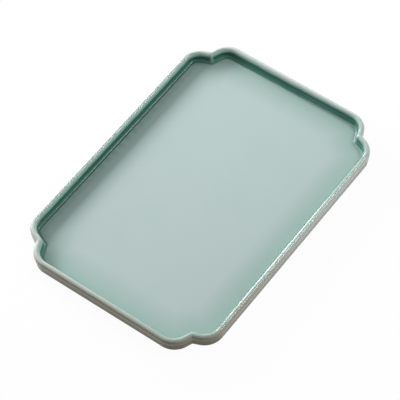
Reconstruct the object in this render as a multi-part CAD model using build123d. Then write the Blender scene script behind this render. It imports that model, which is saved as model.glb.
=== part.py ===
"""Rectangular glazed ceramic tray with four indented corners, on four soft anti-slip pads.

Millimetres, +Z up. The long side runs along X and the pads stand on Z = 0, with the
tray centred on the Z axis.
"""

from build123d import *

import os
from math import cos, radians, sin, tan

# Outside of the ceramic tray
overall_length = 330.0
overall_width = 230.0
tray_height = 16.5

# Rim: a low wall with a fully rounded lip, running into the floor through a cove
rim_thickness = 6.6
outer_taper = 1.5
inner_taper = 1.3
cove_radius = 2.0

# Corners: two rounded lobes with a sharp notch between them
lobe_radius = 22.5
lobe_turn = 67.5
notch_depth = 19.7
lobe_flank_share = 0.9

# Floor, foot ring and the low rib that carries the middle of the floor in the kiln
floor_thickness = 4.7
foot_width = 7.0
foot_height = 1.5
foot_draft = 0.8
base_round = 2.0
rib_width = 5.0
rib_corner_radius = 24.0
rib_span_share = 0.46
joint_overlap = 1.0

# Anti-slip pads
pad_diameter = 10.0
pad_stand_out = 0.5
pad_edge_round = 0.4
pad_clearance = 12.0

# Levels worked out from the sizes above
lip_radius = rim_thickness / 2
foot_z = pad_stand_out
recess_z = foot_z + foot_height
floor_z = recess_z + floor_thickness
rim_z = foot_z + tray_height
lip_z = rim_z - lip_radius

# An outline's notch tip moves in along both axes by this share of the outline's own inset
turn = radians(lobe_turn)
tip_move_share = 1 / (sin(turn) + cos(turn))


def tip_depth(inset):
    """How far a notch tip lies in from its outline's sides, for an outline moved in by inset."""
    return notch_depth + inset * tip_move_share - inset


def lobe_radius_at(inset):
    """Lobe radius of an outline moved in by inset, no larger than the notch's flank allows."""
    flank = notch_depth / sin(turn)
    widest = lobe_flank_share * flank / tan(turn / 2)
    return min(lobe_radius, widest) - inset


def corner_points(half_length, half_width, depth):
    """Sharp corners of one indented corner: side end, notch tip, other side's end."""
    reach = depth * (1 + 1 / tan(turn))
    return [
        (half_length, half_width - reach),
        (half_length - depth, half_width - depth),
        (half_length - reach, half_width),
    ]


def indented_outline(inset):
    """Closed outline of the tray, moved in from its outermost edge by inset."""
    half_length = overall_length / 2 - inset
    half_width = overall_width / 2 - inset
    right_back = corner_points(half_length, half_width, tip_depth(inset))
    left_back = [(-x, y) for x, y in reversed(right_back)]
    left_front = [(-x, -y) for x, y in right_back]
    right_front = [(x, -y) for x, y in reversed(right_back)]
    points = right_back + left_back + left_front + right_front
    lobe = lobe_radius_at(inset)
    return FilletPolyline(*points, radius=[lobe, 0, lobe] * 4, close=True)


def rim_section(half_length):
    """Section of rim, foot ring and cove, standing where a side's middle crosses the X axis."""
    lip_centre = half_length - lip_radius
    foot_outside = half_length - outer_taper
    foot_inside = foot_outside - foot_width
    inner_wall = half_length - rim_thickness
    wall_foot = inner_wall - inner_taper
    floor_side = wall_foot - cove_radius - joint_overlap
    lip = ThreePointArc((inner_wall, lip_z), (lip_centre, rim_z), (half_length, lip_z))
    sides = Polyline(
        (half_length, lip_z),
        (foot_outside, foot_z),
        (foot_inside, foot_z),
        (foot_inside - foot_draft, recess_z),
        (floor_side, recess_z),
        (floor_side, floor_z),
        (wall_foot, floor_z),
        (inner_wall, lip_z),
    )
    section = make_face(lip + sides)
    base_corner = section.vertices().sort_by_distance((foot_outside, foot_z))[0]
    section = fillet(base_corner, base_round)
    cove_corner = section.vertices().sort_by_distance((wall_foot, floor_z))[0]
    section = fillet(cove_corner, cove_radius)
    return Plane.XZ * section


def rim_half_side(half_length, half_width):
    """Rim from the middle of the side at +X to the notch tip, mitred on the notch diagonal."""
    lip_x = half_length - lip_radius
    lip_y = half_width - lip_radius
    side_end, tip, _ = corner_points(lip_x, lip_y, tip_depth(lip_radius))
    past_tip = (2 * tip[0] - side_end[0], 2 * tip[1] - side_end[1])
    path = FilletPolyline((lip_x, 0), side_end, past_tip, radius=lobe_radius_at(lip_radius))
    side = sweep(rim_section(half_length), path=path)
    diagonal = Plane(origin=(tip[0], tip[1], 0), z_dir=(1, -1, 0))
    return split(side, bisect_by=diagonal, keep=Keep.TOP)


def rim():
    """The whole rim: a quarter made of two mitred half sides, and its mirror images."""
    half_length, half_width = overall_length / 2, overall_width / 2
    swap_axes = Plane(origin=(0, 0, 0), z_dir=(1, -1, 0))
    short_side = rim_half_side(half_length, half_width)
    long_side = mirror(rim_half_side(half_width, half_length), about=swap_axes)
    quarter = short_side + long_side
    half = quarter + mirror(quarter, about=Plane.YZ)
    return half + mirror(half, about=Plane.XZ)


def floor_rib():
    """Low ring under the middle of the floor, as high as the foot ring."""
    length = rib_span_share * overall_length
    width = rib_span_share * overall_width
    outside = RectangleRounded(length, width, rib_corner_radius)
    inside_radius = rib_corner_radius - rib_width
    inside = RectangleRounded(length - 2 * rib_width, width - 2 * rib_width, inside_radius)
    return Pos(0, 0, foot_z) * extrude(outside - inside, foot_height + joint_overlap)


def tray_body():
    """The fired tray: its rim, with the floor inside it and the rib below."""
    floor = extrude(make_face(indented_outline(lip_radius)), floor_thickness)
    return rim() + Pos(0, 0, recess_z) * floor + floor_rib()


def pad_centre():
    """Centre of the pad at the right back, on the notch's diagonal and clear of the foot ring."""
    foot_inset = outer_taper + foot_width + foot_draft
    tip_move = notch_depth + foot_inset * tip_move_share
    step = (pad_clearance + pad_diameter / 2) * cos(radians(45))
    return overall_length / 2 - tip_move - step, overall_width / 2 - tip_move - step


def foot_pad(end, side):
    """One round pad, seated on the recessed underside near a corner."""
    thickness = foot_height + pad_stand_out
    x, y = pad_centre()
    pad = Pos(end * x, side * y, thickness / 2) * Cylinder(pad_diameter / 2, thickness)
    lower_edge = pad.edges().group_by(Axis.Z)[0]
    return fillet(lower_edge, pad_edge_round)


def export_parts():
    """Write one STEP file for each named piece."""
    os.makedirs("parts", exist_ok=True)
    export_step(tray_body(), "parts/tray_body.step")
    for side_name, side in (("front", -1), ("back", 1)):
        for end_name, end in (("left", -1), ("right", 1)):
            export_step(foot_pad(end, side), f"parts/foot_pad_{side_name}_{end_name}.step")


export_parts()
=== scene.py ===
"""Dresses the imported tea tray: a pressed ceramic tray under a pale blue-green celadon glaze.

Laid out as an add-on and run as a script. Metres, +Z up, the tray's long side along X. Its back
is towards +Y, its front towards -Y, its left end towards -X and its right end towards +X.
"""

from math import acos, atan2, cos, hypot, pi, radians, sin, tan

import bpy
import numpy as np
from bpy.props import FloatProperty, FloatVectorProperty, PointerProperty
from mathutils import Matrix, Vector


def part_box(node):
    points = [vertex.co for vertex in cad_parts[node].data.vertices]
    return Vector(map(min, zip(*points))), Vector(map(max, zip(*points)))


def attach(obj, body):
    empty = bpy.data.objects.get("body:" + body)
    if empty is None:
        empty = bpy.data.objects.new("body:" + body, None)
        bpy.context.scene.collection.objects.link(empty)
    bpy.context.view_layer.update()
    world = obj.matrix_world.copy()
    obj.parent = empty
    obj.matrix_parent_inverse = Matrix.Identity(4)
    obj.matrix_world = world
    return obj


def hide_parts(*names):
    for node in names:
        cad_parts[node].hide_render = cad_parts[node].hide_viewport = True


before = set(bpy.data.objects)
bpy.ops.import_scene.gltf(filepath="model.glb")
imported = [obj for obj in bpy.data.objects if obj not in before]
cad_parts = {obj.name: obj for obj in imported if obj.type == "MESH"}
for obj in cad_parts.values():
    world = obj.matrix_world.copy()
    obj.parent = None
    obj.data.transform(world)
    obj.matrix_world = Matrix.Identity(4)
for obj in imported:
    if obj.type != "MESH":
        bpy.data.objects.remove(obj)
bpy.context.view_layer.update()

bl_info = {
    "name": "Celadon Tea Tray",
    "version": (1, 0, 0),
    "blender": (4, 5, 0),
    "location": "View3D > Sidebar > Tea Tray",
    "description": "Forms an indented celadon tea tray, its anti-slip pads and the studio round it",
    "category": "Object",
}

BODY_LOW, BODY_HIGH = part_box("tray_body")
PAD_NODES = [f"foot_pad_{side}_{end}" for side in ("front", "back") for end in ("left", "right")]
MM = 0.001

# Points on the stretches of a half side's outline: side, lobe, notch flank and softened tip
POINTS = {"side": 22, "lobe": 18, "flank": 8, "notch": 6}

# Steps of the open floor from its middle to its edge, the power that crowds them towards the
# wall, and the steps of the rim's section from that edge to just before the cove
OPEN_FLOOR_STEPS = 26
FLOOR_CROWDING = 1.8
FLOOR_EDGE_STEPS = 4

# Points of the rim's section round the lip, and its last points, which lie on the recess
LIP_POINTS = 25
RECESS_POINTS = 6

# Steps of the underside from the foot ring to the rib, and from the rib to the middle
RECESS_STEPS = 6
MIDDLE_STEPS = 7

# Flat sides round a pad, and the shortest step of its section that counts as one, in metres
PAD_SIDES = 96
SHORTEST_STEP = 1e-7

# How much a notch's ridge has faded, out of 1, where its softened tip ends
RIDGE_FADE = 0.6

# Studio: how far off the lights stand, half the table's side, and the lens's sensor in millimetres
LIGHT_DISTANCE = 1.6
TABLE_REACH = 6.0
SENSOR_WIDTH = 36.0


def length(name, description, millimetres):
    """A length that the user can change, given in millimetres and kept in metres."""
    return FloatProperty(
        name=name,
        description=description,
        default=millimetres * MM,
        min=0.0,
        precision=5,
        subtype="DISTANCE",
        unit="LENGTH",
    )


def offset(name, description, millimetres):
    """A place along an axis, on either side of 0, given in millimetres and kept in metres."""
    return FloatProperty(
        name=name,
        description=description,
        default=millimetres * MM,
        precision=5,
        subtype="DISTANCE",
        unit="LENGTH",
    )


def share(name, description, value):
    """A plain number from 0 to 1."""
    return FloatProperty(
        name=name,
        description=description,
        default=value,
        min=0.0,
        max=1.0,
        subtype="FACTOR",
    )


def angle(name, description, degrees):
    """An angle, given in degrees."""
    return FloatProperty(
        name=name,
        description=description,
        default=radians(degrees),
        subtype="ANGLE",
        unit="ROTATION",
    )


def tint(name, description, red, green, blue):
    """A colour in linear light."""
    return FloatVectorProperty(
        name=name,
        description=description,
        default=(red, green, blue),
        size=3,
        min=0.0,
        max=1.0,
        subtype="COLOR",
    )


def amount(name, description, value):
    """A number with no unit."""
    return FloatProperty(name=name, description=description, default=value, min=0.0)


class TraySizes(bpy.types.PropertyGroup):
    """Sizes of the fired tray."""

    long_side: length("Long side", "Length of the tray", (BODY_HIGH.x - BODY_LOW.x) / MM)
    short_side: length("Short side", "Width of the tray", (BODY_HIGH.y - BODY_LOW.y) / MM)
    foot_level: length("Foot level", "Height of the foot ring's ground face", BODY_LOW.z / MM)
    rim_level: length("Rim level", "Height of the top of the lip", BODY_HIGH.z / MM)
    floor_level: length("Floor level", "Height of the inside floor", 6.7)
    recess_level: length("Recess level", "Height of the recessed underside", 2.0)
    rim_thickness: length("Rim thickness", "Thickness of the rim below the lip", 6.6)
    outer_taper: length("Outer taper", "How far the outside draws in towards the foot", 1.5)
    inner_taper: length("Inner taper", "How far the inside draws in towards the floor", 1.3)
    cove_radius: length("Cove radius", "Radius of the hollow between wall and floor", 2.0)
    base_round: length("Base round", "Rounding of the outside above the foot ring", 2.0)
    lobe_radius: length("Lobe radius", "Corner lobe at the outside", 22.5)
    floor_lobe_radius: length("Floor lobe radius", "Corner lobe at the foot of the wall", 8.6)
    lobe_turn: angle("Lobe turn", "How far a lobe turns before it runs into the notch", 67.5)
    notch_depth: length("Notch depth", "How far a notch's tip lies in from the sides", 19.7)
    notch_round: length("Notch rounding", "Softening of the notch's tip by the glaze", 1.3)
    foot_width: length("Foot width", "Width of the bare foot ring", 7.0)
    foot_draft: length("Foot draft", "Slope on the inside of the foot ring", 0.8)
    edge_round: length("Edge rounding", "Softening of the foot ring's and rib's edges", 0.35)
    rib_length: length("Rib length", "Length of the ring under the middle of the floor", 151.8)
    rib_breadth: length("Rib breadth", "Breadth of that ring", 105.8)
    rib_corner: length("Rib corner", "Corner radius of that ring", 24.0)
    rib_width: length("Rib width", "Width of that ring's bare face", 5.0)


class PadSizes(bpy.types.PropertyGroup):
    """Form of a moulded pad, in shares of its radius or of its thickness."""

    axis_gap: share("Axis gap", "Where its faces start beside the axis, of the radius", 0.02)
    dish: share("Dish", "Flat middle of the dish in the ground face, of the radius", 0.52)
    dish_edge: share("Dish edge", "Where the dish meets the ground face, of the radius", 0.6)
    side_top: share("Top of the side", "Where the drafted side ends, of the radius", 0.97)
    glue: share("Glue", "Reach of the glue film, of the radius", 0.9)
    dish_depth: share("Dish depth", "Depth of the dish, of the thickness", 0.06)
    film: share("Glue film", "Thickness of the glue film, of the thickness", 0.08)
    lower_round: share("Lower rounding", "Rounding of the lower edge, of the thickness", 0.22)
    fine_round: share("Fine rounding", "Rounding of the other edges, of the thickness", 0.04)


class GlazeLook(bpy.types.PropertyGroup):
    """Colours and gloss of the glaze, the bare clay and the pads."""

    open_floor: tint("Open floor", "Glaze on the open floor", 0.52, 0.63, 0.62)
    floor_rim: tint("Floor near the rim", "Glaze run onto the floor's border", 0.42, 0.56, 0.53)
    near_wall: tint("Floor at the wall", "Thicker glaze at the wall's foot", 0.365, 0.53, 0.49)
    wall: tint("Inner wall", "Deep glaze on the inner wall", 0.042, 0.225, 0.162)
    # Pooled glaze with painted shade: the dark band just under the lip and the back wall's painted
    # shadow
    pooled_glaze_and_shade: tint("Pooled", "Deepest glaze, in the crease and under the lip", 0.016, 0.112, 0.082)
    lip_inside: tint("Inside of the lip", "Glaze thickening down the lip", 0.375, 0.545, 0.495)
    lip: tint("Lip", "Thin glaze over the lip and on the notches' ridges", 0.56, 0.65, 0.61)
    # Thin pale glaze on the lip's outer half, made lighter still as a painted highlight
    crest: tint("Crest", "Thinnest, palest glaze on the lip's outer half", 0.64, 0.695, 0.665)
    outside: tint("Outside", "Glaze on the upper outside", 0.48, 0.51, 0.46)
    low_outside: tint("Low outside", "Thin glaze over clay near the foot", 0.47, 0.49, 0.435)
    # Brown tinge with painted shade: darkens the left end's lip and outside, which face away from
    # the lights
    brown_and_shade: tint("Brown", "Brown tinge of the glaze at the left end", 0.245, 0.205, 0.092)
    underside: tint("Underside", "Glaze under the floor", 0.42, 0.50, 0.47)
    clay: tint("Bare clay", "Buff stoneware of the foot ring and rib", 0.56, 0.47, 0.36)
    silicone: tint("Pads", "Milky silicone of the anti-slip pads", 0.72, 0.73, 0.72)
    clouds: share("Clouds", "Strength of the greener clouds in the glaze", 0.5)
    ridges: share("Ridges", "How far the glaze thins on the notches' ridges", 0.75)
    # Painted shadow: the floor before the back wall darkens and greens where that wall shades it
    painted_back_shadow: share("Crease", "Darkening of the floor close to the back wall", 0.32)
    painted_back_shadow_line: share("Crease line", "Further darkening right at the back wall", 0.6)
    # Strengths of that brown tinge with painted shade
    brown_and_shade_on_lip: share("Brown on the lip", "Strength of the brown tinge on the lip", 0.2)
    brown_and_shade_outside: share("Brown outside", "What that strength gains down the outside", 0.72)
    gloss: share("Gloss roughness", "Roughness of the glaze's glassy surface", 0.07)
    gloss_index: amount("Gloss index", "Refractive index of that surface", 1.46)
    gloss_lost: share("Gloss lost", "How much of the gloss is lost down the outside", 0.75)
    glaze_rough: share("Glaze roughness", "Roughness of the glaze beneath its gloss", 0.45)
    clay_rough: share("Clay roughness", "Roughness of the bare clay", 0.9)
    body_shine: share("Body shine", "Specular level beneath the gloss", 0.1)
    ripple: share("Ripple", "Strength of the glaze's ripple and the clay's grain", 0.25)
    ripple_height: length("Ripple height", "Height of that ripple and grain", 0.04)


class StudioLook(bpy.types.PropertyGroup):
    """Camera, lights, room and table."""

    lens: amount("Lens", "Focal length in millimetres on a 36 mm sensor", 195.54)
    aim_x: offset("Aim X", "Point aimed at on the table", -4.48)
    aim_y: offset("Aim Y", "Point aimed at on the table", -0.63)
    distance: length("Distance", "From the camera to the point aimed at", 2171.74)
    heading: angle("Heading", "Compass direction of the view, from +Y towards +X", 51.621)
    dip: angle("Dip", "How steeply the camera looks down", 55.209)
    roll: angle("Roll", "Turn of the camera about its view", -2.591)
    window: amount("Window", "Radiance of the wide window behind the tray", 18.8)
    window_low: amount("Window, lower part", "Radiance of the window's lower part", 4.0)
    window_right: amount("Window, right part", "Radiance of the window's right part", 2.4)
    strip: amount("Strip", "Radiance of the upright strip light that the glaze mirrors", 11.0)
    side: amount("Side", "Radiance of a dim light on the right", 2.2)
    fill_low: amount("Low fill", "Radiance of the low fill light in front", 1.5)
    fill: amount("Fill", "Radiance of the broad fill light in front", 0.3)
    fill_high: amount("High fill", "Radiance of the higher, smaller fill light", 9.3)
    fill_tint: tint("Fill colour", "Faintly green light given back by the room", 0.92, 1.0, 0.97)
    surround: amount("Surround", "Radiance of the room", 0.05)
    dark_side: tint("Dark side", "The room's light low on the left, as a share", 0.45, 0.36, 0.26)
    darkening: amount("Darkening", "How soon the room reaches that towards the left", 1.3)
    table_dark: tint("Table, darker", "Darker clouds of the table", 0.32, 0.31, 0.30)
    table_light: tint("Table, lighter", "Lighter clouds of the table", 0.36, 0.35, 0.34)
    table_shade: share("Table shade", "Share of real shading where the table is seen", 0.04)


# Shape of the tray


def run(count, include_end=False):
    """Evenly spaced steps from 0 to 1, without the end unless it is asked for."""
    return np.linspace(0.0, 1.0, count, endpoint=include_end)


def half_side(half_x, half_y, depth, lobe, soft, turn):
    """Outline from the middle of the side at +X to the notch's diagonal, one row per outline.

    Each argument but turn is a column, one value per outline. In order: a straight run up the
    side, an arc of the lobe's radius through turn, the straight flank of the notch, and half of
    the arc, of radius soft, that softens its tip.
    """
    corner_y = half_y - depth * (1 + 1 / tan(turn))
    start = corner_y - lobe * tan(turn / 2)
    up = run(POINTS["side"])[None, :]
    side = np.stack([half_x + 0 * up, up * start], -1)
    bend = run(POINTS["lobe"])[None, :] * turn
    lobe_arc = np.stack([half_x - lobe + lobe * np.cos(bend), start + lobe * np.sin(bend)], -1)
    along = np.array([-sin(turn), cos(turn)])
    tip = np.stack([half_x - depth, half_y - depth], -1)
    first = np.stack([half_x - lobe + lobe * cos(turn), start + lobe * sin(turn)], -1)
    last = tip - (soft * tan(turn - pi / 4))[..., None] * along
    flank = first + (last - first) * run(POINTS["flank"])[None, :, None]
    back = turn - run(POINTS["notch"], include_end=True)[None, :] * (turn - pi / 4)
    centre = last + soft[..., None] * np.array([cos(turn), sin(turn)])
    notch_arc = centre - soft[..., None] * np.stack([np.cos(back), np.sin(back)], -1)
    return np.concatenate([side, lobe_arc, flank, notch_arc], 1)


def whole_outline(from_x, from_y):
    """Closed outlines from two half sides each: one from +X, and one from +Y with axes swapped.

    The two make a quarter, and its mirror images make the rest.
    """
    quarter = np.concatenate([from_x, from_y[:, -2::-1, ::-1]], 1)
    half = np.concatenate([quarter, quarter[:, -2::-1] * [-1, 1]], 1)
    return np.concatenate([half, half[:, 1:-1] * -1], 1)


def indented(sizes, inset, lobe):
    """Indented outlines, one row per inset, with the lobe radius given for each row.

    The notch's tip moves in along both axes by inset / (sin turn + cos turn), as a mitre does.
    """
    turn = sizes.lobe_turn
    inset, lobe = inset[:, None], lobe[:, None]
    soft = np.full_like(inset, sizes.notch_round)
    half_x = sizes.long_side / 2 - inset
    half_y = sizes.short_side / 2 - inset
    depth = sizes.notch_depth + inset / (sin(turn) + cos(turn)) - inset
    from_x = half_side(half_x, half_y, depth, lobe, soft, turn)
    from_y = half_side(half_y, half_x, depth, lobe, soft, turn)
    return whole_outline(from_x, from_y)


def rounded(half_x, half_y, radius):
    """Rounded rectangles, one row each, with as many points to a half side as an indented one.

    A half side is a straight run up to its radius from the corner, and an eighth of a circle.
    """
    half_x, half_y, radius = half_x[:, None], half_y[:, None], radius[:, None]
    up = run(POINTS["side"])[None, :]
    around = POINTS["lobe"] + POINTS["flank"] + POINTS["notch"]
    bend = run(around, include_end=True)[None, :] * pi / 4

    def half(across, along):
        side = np.stack([across + 0 * up, up * (along - radius)], -1)
        arc = [across - radius + radius * np.cos(bend), along - radius + radius * np.sin(bend)]
        return np.concatenate([side, np.stack(arc, -1)], 1)

    return whole_outline(half(half_x, half_y), half(half_y, half_x))


def soften(points, radii, arc_points, straight_steps):
    """A section through corner points, each corner rounded to its radius, straights divided.

    At a corner where the path bends by some angle, the arc starts radius * tan(angle / 2)
    before the corner and has its centre at its radius to that side.
    """
    points = np.asarray(points, float)
    out = [points[:1]]
    for before, corner, after, radius in zip(points, points[1:], points[2:], radii):
        to, away = corner - before, after - corner
        to, away = to / np.linalg.norm(to), away / np.linalg.norm(away)
        cross = to[0] * away[1] - to[1] * away[0]
        bend = np.arctan2(cross, to @ away)
        start = corner - to * radius * tan(abs(bend) / 2)
        side = np.sign(bend) * np.array([-to[1], to[0]])
        turned = np.linspace(0, abs(bend), arc_points)[:, None]
        out.append(out[-1][-1] + (start - out[-1][-1]) * run(straight_steps)[1:, None])
        out.append(start + radius * (np.sin(turned) * to + (1 - np.cos(turned)) * side))
    steps = run(straight_steps, include_end=True)[1:, None]
    out.append(out[-1][-1] + (points[-1] - out[-1][-1]) * steps)
    return np.concatenate(out)


def path_length(section):
    """Distance along a section from its first point to each of its points."""
    return np.concatenate([[0], np.cumsum(np.linalg.norm(np.diff(section, axis=0), axis=1))])


def ease(t):
    """Smooth step from 0 to 1: three times t squared less twice t cubed, level at both ends."""
    t = np.clip(t, 0, 1)
    return t * t * (3 - 2 * t)


def closed_skin(name, rings, **marks):
    """A closed mesh from rings of points, its first and last ring closed by a fan to their middle.

    Each point is joined to its neighbours on its ring and to the same point of the next ring.
    marks are numbers per ring point, kept as attributes of the mesh's vertices.
    """
    count, around = rings.shape[:2]
    ends = np.stack([rings[0].mean(0), rings[-1].mean(0)])
    points = np.concatenate([rings.reshape(-1, 3), ends])
    here = np.arange(around)
    there = np.roll(here, -1)
    rows = (np.arange(count - 1) * around)[:, None]
    quads = np.stack([rows + here, rows + around + here, rows + around + there, rows + there], -1)
    first = np.stack([here, there, np.full(around, count * around)], -1)
    top = (count - 1) * around
    last = np.stack([top + there, top + here, np.full(around, count * around + 1)], -1)
    mesh = bpy.data.meshes.new(name)
    faces = quads.reshape(-1, 4).tolist() + first.tolist() + last.tolist()
    mesh.from_pydata(points.tolist(), [], faces)
    if mesh.validate():
        raise RuntimeError(f"{name} has faces that Blender had to drop")
    mesh.polygons.foreach_set("use_smooth", np.ones(len(mesh.polygons), bool))
    for mark, values in marks.items():
        values = np.concatenate([values.ravel(), [values[0].mean(), values[-1].mean()]])
        attribute = mesh.attributes.new(mark, "FLOAT", "POINT")
        attribute.data.foreach_set("value", values.astype(np.float32))
    mesh.update()
    return mesh


def signed_volume(mesh):
    """Volume inside a closed mesh, negative where its faces point inwards.

    It is a sixth of the sum of each triangle's triple product of corners.
    """
    mesh.calc_loop_triangles()
    corners = np.empty(len(mesh.vertices) * 3)
    mesh.vertices.foreach_get("co", corners)
    index = np.empty(len(mesh.loop_triangles) * 3, int)
    mesh.loop_triangles.foreach_get("vertices", index)
    a, b, c = corners.reshape(-1, 3)[index.reshape(-1, 3)].transpose(1, 0, 2)
    return float(np.einsum("ij,ij->", a, np.cross(b, c))) / 6


def add_piece(name, mesh, material):
    """Puts a finished mesh into the scene, at the origin, unturned and unscaled."""
    if signed_volume(mesh) <= 0:
        raise RuntimeError(f"{name} is inside out")
    mesh.materials.append(material)
    piece = bpy.data.objects.new(name, mesh)
    bpy.context.scene.collection.objects.link(piece)
    return piece


def tangent_angle(point, centre, radius, side):
    """Where on a circle the tangent from an outside point touches: side is 1 or -1.

    It is the point's own direction from the centre, plus or minus the angle whose cosine is
    the radius over the point's distance.
    """
    away = (point[0] - centre[0], point[1] - centre[1])
    return atan2(away[1], away[0]) + side * acos(radius / hypot(*away))


def rim_section(sizes):
    """Section from the floor's edge up the wall, over the lip and down the outside to the recess.

    Points are (inset from the outermost edge, height). The lip is an arc of half the rim's
    thickness, between the tangents from the foot of the inner wall and from the outside's foot.
    The section starts one and a half cove radii before the wall's foot, and ends three times
    the foot's draft past the inner edge of its ground face.
    """
    lip = sizes.rim_thickness / 2
    edge = sizes.edge_round
    centre = (lip, sizes.rim_level - lip)
    floor_edge = sizes.rim_thickness + sizes.inner_taper + 1.5 * sizes.cove_radius
    wall_foot = (sizes.rim_thickness + sizes.inner_taper, sizes.floor_level)
    outside_foot = (sizes.outer_taper, sizes.foot_level)
    ring_inside = sizes.outer_taper + sizes.foot_width
    first = tangent_angle(wall_foot, centre, lip, 1)
    last = tangent_angle(outside_foot, centre, lip, -1) % (2 * pi)
    around = first + (last - first) * run(LIP_POINTS, include_end=True)
    arc = np.stack([centre[0] + lip * np.cos(around), centre[1] + lip * np.sin(around)], -1)
    inside = [(floor_edge, sizes.floor_level), wall_foot, arc[0]]
    steps = FLOOR_EDGE_STEPS + 1
    inside = soften(inside, [sizes.cove_radius], arc_points=11, straight_steps=steps)
    outside = [
        arc[-1],
        outside_foot,
        (ring_inside, sizes.foot_level),
        (ring_inside + sizes.foot_draft, sizes.recess_level),
        (ring_inside + 3 * sizes.foot_draft, sizes.recess_level),
    ]
    outside = soften(outside, [sizes.base_round, edge, edge], arc_points=9, straight_steps=5)
    return np.concatenate([inside, arc[1:], outside[1:]])


def rib_section(sizes):
    """Section of the rib from the recess round it to the recess within: (inset, height).

    A plain step down and up again, with three edge roundings of recess on either side.
    """
    edge = sizes.edge_round
    corners = [
        (-3 * edge, sizes.recess_level),
        (0.0, sizes.recess_level),
        (0.0, sizes.foot_level),
        (sizes.rib_width, sizes.foot_level),
        (sizes.rib_width, sizes.recess_level),
        (sizes.rib_width + 3 * edge, sizes.recess_level),
    ]
    return soften(corners, [edge] * 4, arc_points=5, straight_steps=3)


def lobe_radii(sizes, section):
    """Lobe radius for each point of the rim's section.

    Outside and on the lip it is the outside's own radius less the inset. Down the inner wall
    it eases towards the tighter radius that the floor's corners have.
    """
    inset, height = section.T
    natural = sizes.lobe_radius - inset
    lip_level = sizes.rim_level - sizes.rim_thickness / 2
    down = ease((lip_level - height) / (lip_level - sizes.floor_level))
    crest = int(np.argmax(height))
    down[crest:] = 0
    return natural + (sizes.floor_lobe_radius - natural) * down


def lifted(outlines, heights):
    """Flat outlines made rings in space, each at its own height."""
    levels = np.broadcast_to(heights[:, None, None], outlines.shape[:2] + (1,))
    return np.concatenate([outlines, levels], 2)


def shrunk(ring, shares):
    """Copies of a ring at its own height, each scaled towards the Z axis by one of the shares."""
    return ring * np.stack([shares, shares, np.ones_like(shares)], -1)[:, None, :]


def tray_rings(sizes):
    """All rings of the tray's skin, from the middle of the floor round the rim to the underside.

    The floor's rings are the floor's edge scaled towards the middle, closer together near the
    wall. Between the foot ring and the rib the rings run straight from the one outline to the
    other, and within the rib they are scaled towards the middle again. The rim's section comes
    back with them.
    """
    section = rim_section(sizes)
    rim = lifted(indented(sizes, section[:, 0], lobe_radii(sizes, section)), section[:, 1])
    floor = shrunk(rim[0], 1 - (1 - run(OPEN_FLOOR_STEPS)[1:]) ** FLOOR_CROWDING)
    inset, height = rib_section(sizes).T
    half_x, half_y = sizes.rib_length / 2 - inset, sizes.rib_breadth / 2 - inset
    rib = lifted(rounded(half_x, half_y, sizes.rib_corner - inset), height)
    recess = rim[-1] + (rib[0] - rim[-1]) * run(RECESS_STEPS)[1:, None, None]
    middle = shrunk(rib[-1], run(MIDDLE_STEPS)[:0:-1])
    return [floor, rim, recess, rib, middle], section


def glaze_marks(sizes, bands, section):
    """Numbers that tell the glaze where it is, for each ring point.

    way: distance along the section from just before the cove, in metres, below 0 on the floor,
    where it is the distance to the nearest part of the floor's edge. bare: 1 on the unglazed
    ground faces, up to where their edges start to round. under: 1 on the underside. ridge: 1 on
    a notch's diagonal, less by the square of the distance from it, and 0 past the softened tip.
    """
    floor, rim = bands[0], bands[1]
    around = rim.shape[1]
    along = path_length(section)
    junction = along[FLOOR_EDGE_STEPS]
    edge = rim[0, :, :2]
    gap = np.sqrt(((floor[:, :, None, :2] - edge[None, None, ::2]) ** 2).sum(-1).min(2))
    way = [-junction - gap, np.broadcast_to((along - junction)[:, None], (len(along), around))]
    end = along[-1] - junction
    way += [np.full(band.shape[:2], end) for band in bands[2:]]
    level = np.concatenate([band[:, :, 2] for band in bands])
    past_crest = np.zeros(len(level), bool)
    past_crest[len(floor) + int(np.argmax(section[:, 1])):] = True
    ground_top = sizes.foot_level + 0.3 * sizes.edge_round
    under = np.zeros(level.shape)
    under[len(floor) + len(rim) - RECESS_POINTS:] = 1
    diagonal = sum(POINTS.values()) - 1
    tips = [diagonal, around // 2 - diagonal, around // 2 + diagonal, around - diagonal]
    nearest = np.min([np.abs(np.arange(around) - tip) for tip in tips], 0)
    crown = 1 - RIDGE_FADE * (nearest / POINTS["notch"]) ** 2
    return {
        "way": np.concatenate(way),
        "bare": ((level < ground_top) & past_crest[:, None]).astype(float),
        "under": under,
        "ridge": np.broadcast_to(np.where(nearest <= POINTS["notch"], crown, 0), level.shape),
    }


def pad_profile(sizes, radius, thickness):
    """Section of a moulded silicone pad: (distance from its axis, height), from the ground up.

    A shallow dish in the ground face, a soft lower edge, a slight draft, and the thin film of
    glue that holds it. Where two roundings meet with no straight between them, the points that
    repeat the one before are left out.
    """
    top = thickness - sizes.film * thickness
    dished = sizes.dish_depth * thickness
    corners = [
        (sizes.axis_gap * radius, dished),
        (sizes.dish * radius, dished),
        (sizes.dish_edge * radius, 0.0),
        (radius, 0.0),
        (sizes.side_top * radius, top),
        (sizes.glue * radius, top),
        (sizes.glue * radius, thickness),
        (sizes.axis_gap * radius, thickness),
    ]
    fine, lower = sizes.fine_round * thickness, sizes.lower_round * thickness
    radii = [fine, fine, lower, fine, fine, fine]
    section = soften(corners, radii, arc_points=7, straight_steps=3)
    return section[np.diff(path_length(section), prepend=-1) > SHORTEST_STEP]


def pad_mesh(name, sizes, low, high):
    """The pad's section turned about the upright axis through the middle of its box."""
    middle = (low + high) / 2
    profile = pad_profile(sizes, (high.x - low.x) / 2, high.z - low.z)
    turn = run(PAD_SIDES) * 2 * pi
    out, up = profile[:, 0, None], profile[:, 1, None]
    rings = [middle.x + out * np.cos(turn), middle.y + out * np.sin(turn), low.z + up + 0 * turn]
    return closed_skin(name, np.stack(rings, -1)[::-1])


# Materials


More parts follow.
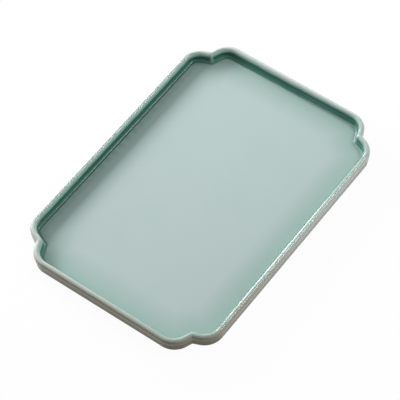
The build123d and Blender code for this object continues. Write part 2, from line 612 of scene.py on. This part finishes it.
class Wire:
    """A socket in a material's node tree. Sums written on it add Math nodes."""

    def __init__(self, tree, socket):
        self.tree = tree
        self.socket = socket

    def node(self, kind, settings=(), out=0, **values):
        """A node of any kind: its settings first, then values or wires for its sockets.

        A socket is named by its name with spaces as underscores, or s0, s1 for its place, and
        out is the name or place of the output that the new wire leaves from.
        """
        made = self.tree.nodes.new(kind)
        for key, value in dict(settings).items():
            if key == "stops":
                ramp = made.color_ramp.elements
                while len(ramp) < len(value):
                    ramp.new(1.0)
                for element, (place, colour) in zip(ramp, value):
                    element.position = place
                    element.color = (*colour, 1.0)
            else:
                setattr(made, key, value)
        for key, value in values.items():
            by_place = key[0] == "s" and key[1:].isdigit()
            socket = made.inputs[int(key[1:])] if by_place else made.inputs[key.replace("_", " ")]
            if isinstance(value, Wire):
                self.tree.links.new(value.socket, socket)
            else:
                socket.default_value = value
        return Wire(self.tree, made.outputs[out])

    def maths(self, operation, *others, clamp=False):
        """A Math node on this wire and up to two more numbers or wires."""
        values = {f"s{i}": v for i, v in enumerate((self, *others))}
        settings = {"operation": operation, "use_clamp": clamp}
        return self.node("ShaderNodeMath", settings, **values)

    def __add__(self, other):
        return self.maths("ADD", other)

    __radd__ = __add__

    def __mul__(self, other):
        return self.maths("MULTIPLY", other)

    __rmul__ = __mul__

    def __sub__(self, other):
        return self.maths("SUBTRACT", other)

    def __rsub__(self, other):
        return self.maths("MULTIPLY", -1.0) + other

    def __truediv__(self, other):
        return self.maths("DIVIDE", other)

    def clamped(self):
        """This value, held between 0 and 1."""
        return self.maths("ADD", 0.0, clamp=True)

    def rise(self, start, end):
        """0 before start, 1 past end and a straight rise between, both in millimetres.

        Where end is the smaller of the two, it is 0 above start and 1 below end.
        """
        return ((self - start * MM) / ((end - start) * MM)).clamped()

    def blend(self, here, there):
        """Colours mixed by this wire as the factor."""
        here, there = (v if isinstance(v, Wire) else (*v, 1.0) for v in (here, there))
        settings = {"data_type": "RGBA"}
        return self.node("ShaderNodeMix", settings, out=2, s0=self, s6=here, s7=there)


def new_material(name):
    """A material, its Principled shader, and a wire of Object coordinates to start from."""
    material = bpy.data.materials.new(name)
    material.use_nodes = True
    tree = material.node_tree
    tree.nodes.clear()
    surface = tree.nodes.new("ShaderNodeBsdfPrincipled")
    output = tree.nodes.new("ShaderNodeOutputMaterial")
    tree.links.new(surface.outputs[0], output.inputs[0])
    return material, surface, Wire(tree, None).node("ShaderNodeTexCoord", out="Object")


def feed(surface, **wires):
    """Links wires to the shader's sockets, named with underscores for spaces."""
    for key, wire in wires.items():
        wire.tree.links.new(wire.socket, surface.inputs[key.replace("_", " ")])


def noise(place, scale, detail):
    """Soft clouds from 0 to 1, about as many to the metre as scale says."""
    return place.node("ShaderNodeTexNoise", Vector=place, Scale=scale, Detail=detail)


def shades(colour, darker, lighter):
    """A darker and a lighter shade of a colour, each so many times as strong."""
    return [darker * part for part in colour], [min(1.0, lighter * part) for part in colour]


def shown(start):
    """1 on rays from the camera, a gloss or clear matter, and 0 on those that only light."""
    rays = ("Is Camera Ray", "Is Glossy Ray", "Is Transmission Ray")
    straight, gloss, through = (start.node("ShaderNodeLightPath", out=ray) for ray in rays)
    return straight.maths("MAXIMUM", gloss).maths("MAXIMUM", through)


# The glaze's colours along the section: the distance in millimetres from just before the cove,
# below 0 on the floor, then up the inner wall, over the lip and down the outside
GLAZE_RUN = (
    (-60.0, "open_floor"),
    (-30.0, "open_floor"),
    (-10.0, "floor_rim"),
    (-0.5, "near_wall"),
    (0.8, "wall"),
    (5.2, "wall"),
    # Dark band just under the lip: pooled glaze, darkened further as painted shade
    (6.4, "pooled_glaze_and_shade"),
    (7.4, "pooled_glaze_and_shade"),
    (10.3, "lip_inside"),
    (12.5, "lip"),
    (14.6, "crest"),
    # Crest: thin pale glaze with a painted highlight on the lip's outer half
    (15.6, "crest"),
    (19.0, "outside"),
    (24.0, "low_outside"),
)

# Where the ramp that holds these colours starts, and its length
RUN_START = -60.0
RUN_SPAN = 100.0

# Where the glaze's other marks begin and where they are full, in the same millimetres along the
# section, or along an axis of the tray where the name says so
RIDGE = (1.0, 3.0)
# The back wall's painted shadow on the floor, and how far up the cove it reaches
PAINTED_BACK_SHADOW = (-9.0, -3.0)
PAINTED_BACK_SHADOW_LINE = (-0.7, 0.3)
PAINTED_BACK_SHADOW_UP_THE_WALL = (2.8, 1.4)
PAINTED_BACK_SHADOW_ALONG_Y = (85.0, 97.0)
# Brown tinge with painted shade on the left end, stronger down the outside and fading towards the
# back
BROWN_AND_SHADE = (8.0, 11.0)
BROWN_AND_SHADE_OUTSIDE = (15.0, 18.5)
BROWN_AND_SHADE_ALONG_X = (33.3, -133.3)
BROWN_AND_SHADE_ALONG_Y = (114.3, 42.9)
DULL_OUTSIDE = (18.0, 23.0)

# How far the clouds move the run of colours either way, in millimetres, and how far it has
# slipped towards -Y, for each millimetre from the middle
DRIFT = 0.8
SLIP = 0.01


def glaze_colour(look, place, way, ridge, under):
    """Colour of the glaze, by how thick it lies, with painted shade and painted highlight in it.

    A ramp of colours follows the section; its dark band just under the lip is partly painted shade
    and its pale crest partly painted highlight. Clouds shift it, and the whole run has slipped
    towards -Y in step with the distance from the middle, twice as fast in the front half. Over it
    go, each by its own mask: greener clouds, thin pale glaze on the notches' ridges, a painted
    shadow of the back wall that grows over the last of the floor before it, a brown tinge with
    painted shade on the lip and the outside that grows towards the left end and fades towards the
    back, and the plain glaze of the underside.
    """
    along_x = place.node("ShaderNodeSeparateXYZ", Vector=place, out="X")
    along_y = place.node("ShaderNodeSeparateXYZ", Vector=place, out="Y")
    drift = (noise(place, scale=55.0, detail=2.0) - 0.5) * (2 * DRIFT * MM)
    slip = (along_y + along_y.maths("MINIMUM", 0.0)) * SLIP
    reached = (way + drift + slip - RUN_START * MM) / (RUN_SPAN * MM)
    stops = [((mark - RUN_START) / RUN_SPAN, getattr(look, key)) for mark, key in GLAZE_RUN]
    glaze = reached.node("ShaderNodeValToRGB", {"stops": stops}, Fac=reached)
    cloud = noise(place, scale=18.0, detail=3.0)
    glaze = ((cloud - 0.5) * look.clouds).clamped().blend(glaze, look.floor_rim)
    glaze = (ridge * way.rise(*RIDGE) * look.ridges).blend(glaze, look.lip)
    # Painted shadow of the back wall over the last of the floor, only towards +Y
    painted_back_shadow = way.rise(*PAINTED_BACK_SHADOW) * look.painted_back_shadow + way.rise(*PAINTED_BACK_SHADOW_LINE) * look.painted_back_shadow_line
    painted_back_shadow = painted_back_shadow * way.rise(*PAINTED_BACK_SHADOW_UP_THE_WALL) * along_y.rise(*PAINTED_BACK_SHADOW_ALONG_Y)
    glaze = painted_back_shadow.blend(glaze, look.pooled_glaze_and_shade)
    # Brown tinge with painted shade, growing towards the left end
    shaded_left_end = along_x.rise(*BROWN_AND_SHADE_ALONG_X) * along_y.rise(*BROWN_AND_SHADE_ALONG_Y) * way.rise(*BROWN_AND_SHADE)
    brown_and_shade = shaded_left_end * (way.rise(*BROWN_AND_SHADE_OUTSIDE) * look.brown_and_shade_outside + look.brown_and_shade_on_lip)
    glaze = brown_and_shade.blend(glaze, look.brown_and_shade)
    return under.blend(glaze, look.underside)


def celadon(look):
    """Celadon over buff stoneware, told apart by the marks that glaze_marks left on the mesh.

    The glaze has a faint ripple under a glassy coat, which dulls down the outside, and the bare
    ground faces show grainy clay, rough and with no coat.
    """
    material, surface, place = new_material("celadon")
    way, bare, under, ridge = (
        place.node("ShaderNodeAttribute", {"attribute_name": mark}, out="Fac")
        for mark in ("way", "bare", "under", "ridge")
    )
    glaze = glaze_colour(look, place, way, ridge, under)
    grain = noise(place, scale=1400.0, detail=4.0)
    clay = grain.blend(*shades(look.clay, 0.72, 1.18))
    height = noise(place, scale=120.0, detail=1.0) * (1 - bare) + grain * bare
    relief = {"Strength": look.ripple, "Distance": look.ripple_height, "Height": height}
    feed(
        surface,
        Base_Color=bare.blend(glaze, clay),
        Roughness=bare * (look.clay_rough - look.glaze_rough) + look.glaze_rough,
        Coat_Weight=(1 - bare) * (1 - look.gloss_lost * way.rise(*DULL_OUTSIDE)),
        Normal=place.node("ShaderNodeBump", **relief),
    )
    surface.inputs["Specular IOR Level"].default_value = look.body_shine
    surface.inputs["Coat Roughness"].default_value = look.gloss
    surface.inputs["Coat IOR"].default_value = look.gloss_index
    return material


def silicone(look):
    """Milky moulded silicone: a soft sheen over a faintly cloudy body, and a fine skin."""
    material, surface, place = new_material("milky_silicone")
    haze = noise(place, scale=420.0, detail=2.0)
    skin = noise(place, scale=2600.0, detail=2.0)
    feed(
        surface,
        Base_Color=haze.blend(*shades(look.silicone, 0.9, 1.08)),
        Roughness=haze * 0.15 + 0.38,
        Normal=place.node("ShaderNodeBump", Strength=0.3, Distance=0.02 * MM, Height=skin),
    )
    return material


def pale_table(look):
    """Pale table. Seen straight or in a gloss it is near white, with its shadows kept faint."""
    material, surface, place = new_material("pale_table")
    tree = material.node_tree
    surface.inputs["Roughness"].default_value = 0.9
    mottle = noise(place, scale=6.0, detail=2.0)
    feed(surface, Base_Color=mottle.blend(look.table_dark, look.table_light))
    white = place.node("ShaderNodeEmission", Color=(1, 1, 1, 1), Strength=1.0)
    matt = place.node("ShaderNodeBsdfDiffuse", Color=(1, 1, 1, 1))
    bright = place.node("ShaderNodeMixShader", s0=look.table_shade, s1=white, s2=matt)
    plain = Wire(tree, surface.outputs[0])
    mixed = place.node("ShaderNodeMixShader", s0=shown(place), s1=plain, s2=bright)
    tree.links.new(mixed.socket, tree.nodes["Material Output"].inputs[0])
    return material


# Studio


def soft_light(name, headings, heights, radiance, colour=(1.0, 1.0, 1.0), glints=True):
    """A rectangular area light that faces the tray and fills a range of headings and heights.

    Headings run from +Y towards +X and heights up from the table, in degrees. An area light of
    power P and area A has radiance P / (pi A). One without glints isn't mirrored in the glaze.
    """
    heading, height = (radians(sum(pair) / 2) for pair in (headings, heights))
    spread, rise = (tan(radians(pair[1] - pair[0]) / 2) for pair in (headings, heights))
    back = Vector((sin(heading) * cos(height), cos(heading) * cos(height), sin(height)))
    data = bpy.data.lights.new(name, "AREA")
    data.shape = "RECTANGLE"
    data.size = 2 * LIGHT_DISTANCE * cos(height) * spread
    data.size_y = 2 * LIGHT_DISTANCE * rise
    data.energy = radiance * pi * data.size * data.size_y
    data.color = colour
    light = bpy.data.objects.new(name, data)
    turned = back.to_track_quat("Z", "Y").to_matrix().to_4x4()
    light.matrix_world = Matrix.Translation(back * LIGHT_DISTANCE) @ turned
    light.visible_camera = False
    light.visible_glossy = glints
    bpy.context.scene.collection.objects.link(light)


def set_world(look):
    """A room that is white where the camera, a gloss or clear matter sees it.

    As light it is plain grey, and dimmer and warmer low on the left: it takes on the dark side's
    tint in step with how far the direction points towards -X, and wholly from 1 / darkening on.
    """
    world = bpy.data.worlds.new("room")
    bpy.context.scene.world = world
    world.use_nodes = True
    tree = world.node_tree
    tree.nodes.clear()
    output = tree.nodes.new("ShaderNodeOutputWorld")
    direction = Wire(tree, None).node("ShaderNodeTexCoord", out="Generated")
    rightwards = direction.node("ShaderNodeSeparateXYZ", Vector=direction, out="X")
    tone = (rightwards * -look.darkening).clamped().blend((1, 1, 1), look.dark_side)
    room = direction.node("ShaderNodeBackground", Color=tone, Strength=look.surround)
    white = direction.node("ShaderNodeBackground", Color=(1, 1, 1, 1), Strength=1.0)
    mixed = direction.node("ShaderNodeMixShader", s0=shown(direction), s1=room, s2=white)
    tree.links.new(mixed.socket, output.inputs[0])


def set_camera(look):
    """A camera that looks at a point on the table along a heading and a dip, turned by roll."""
    heading, dip, roll = look.heading, look.dip, look.roll
    forward = Vector((sin(heading) * cos(dip), cos(heading) * cos(dip), -sin(dip)))
    level = Vector((cos(heading), -sin(heading), 0))
    upward = level.cross(forward)
    right = level * cos(roll) + upward * sin(roll)
    up = upward * cos(roll) - level * sin(roll)
    data = bpy.data.cameras.new("camera")
    data.sensor_width = SENSOR_WIDTH
    data.lens = look.lens
    data.clip_end = 50
    camera = bpy.data.objects.new("camera", data)
    place = Vector((look.aim_x, look.aim_y, 0)) - forward * look.distance
    turned = Matrix((right, up, -forward)).transposed()
    camera.matrix_world = Matrix.Translation(place) @ turned.to_4x4()
    bpy.context.scene.collection.objects.link(camera)
    bpy.context.scene.camera = camera


def set_table(look):
    """A square table at height 0."""
    signs = ((-1, -1), (1, -1), (1, 1), (-1, 1))
    corners = [(x * TABLE_REACH, y * TABLE_REACH, 0) for x, y in signs]
    mesh = bpy.data.meshes.new("table")
    mesh.from_pydata(corners, [], [(0, 1, 2, 3)])
    mesh.materials.append(pale_table(look))
    table = bpy.data.objects.new("table", mesh)
    bpy.context.scene.collection.objects.link(table)


# Operators, panel and registration


class TRAY_OT_form_body(bpy.types.Operator):
    """Form the glazed tray as one closed skin"""

    bl_idname = "tea_tray.form_body"
    bl_label = "Form Tray"

    def execute(self, context):
        sizes, look = context.scene.tray_sizes, context.scene.glaze_look
        bands, section = tray_rings(sizes)
        marks = glaze_marks(sizes, bands, section)
        mesh = closed_skin("celadon_tray", np.concatenate(bands), **marks)
        piece = add_piece("celadon_tray", mesh, celadon(look))
        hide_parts("tray_body")
        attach(piece, "root")
        return {"FINISHED"}


class TRAY_OT_form_pads(bpy.types.Operator):
    """Form the four moulded pads under the tray"""

    bl_idname = "tea_tray.form_pads"
    bl_label = "Form Pads"

    def execute(self, context):
        sizes, finish = context.scene.pad_sizes, silicone(context.scene.glaze_look)
        for node in PAD_NODES:
            name = node.replace("foot_pad", "silicone_pad")
            piece = add_piece(name, pad_mesh(name, sizes, *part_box(node)), finish)
            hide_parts(node)
            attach(piece, "root")
        return {"FINISHED"}


class TRAY_OT_set_studio(bpy.types.Operator):
    """Set the table, the lights, the room and the camera"""

    bl_idname = "tea_tray.set_studio"
    bl_label = "Set Studio"

    def execute(self, context):
        look = context.scene.studio_look
        set_table(look)
        soft_light("window", (-23, 27), (13, 27), look.window, glints=False)
        soft_light("window_low", (-23, 27), (2, 13), look.window_low, glints=False)
        soft_light("strip", (23, 33), (2, 29), look.strip)
        soft_light("window_right", (33, 53), (3, 28), look.window_right, glints=False)
        soft_light("side", (53, 83), (3, 28), look.side, glints=False)
        soft_light("fill_low", (130, 205), (3, 28), look.fill_low, look.fill_tint, glints=False)
        soft_light("fill", (130, 190), (29, 52), look.fill, look.fill_tint, glints=False)
        soft_light("fill_high", (114, 142), (44, 63), look.fill_high, look.fill_tint)
        set_world(look)
        set_camera(look)
        context.scene.view_settings.view_transform = "Standard"
        return {"FINISHED"}


class TRAY_PT_panel(bpy.types.Panel):
    """Lists the tray's steps, sizes and colours in the 3D view's sidebar"""

    bl_idname = "TRAY_PT_panel"
    bl_label = "Celadon Tea Tray"
    bl_space_type = "VIEW_3D"
    bl_region_type = "UI"
    bl_category = "Tea Tray"

    def draw(self, context):
        column = self.layout.column(align=True)
        for step in OPERATORS:
            column.operator(step.bl_idname)
        for name in GROUPS:
            group = getattr(context.scene, name)
            box = self.layout.box()
            for key in group.bl_rna.properties.keys():
                if key not in {"rna_type", "name"}:
                    box.prop(group, key)


GROUPS = {
    "tray_sizes": TraySizes,
    "pad_sizes": PadSizes,
    "glaze_look": GlazeLook,
    "studio_look": StudioLook,
}
OPERATORS = (TRAY_OT_form_body, TRAY_OT_form_pads, TRAY_OT_set_studio)
CLASSES = (*GROUPS.values(), *OPERATORS, TRAY_PT_panel)


def register():
    """Registers the classes and gives the scene its groups of settings."""
    for each in CLASSES:
        bpy.utils.register_class(each)
    for name, group in GROUPS.items():
        setattr(bpy.types.Scene, name, PointerProperty(type=group))


def unregister():
    """Takes the groups and the classes away again."""
    for name in GROUPS:
        delattr(bpy.types.Scene, name)
    for each in reversed(CLASSES):
        bpy.utils.unregister_class(each)


def main():
    """Builds the tray and its studio."""
    register()
    bpy.ops.tea_tray.form_body()
    bpy.ops.tea_tray.form_pads()
    bpy.ops.tea_tray.set_studio()


if __name__ == "__main__":
    main()
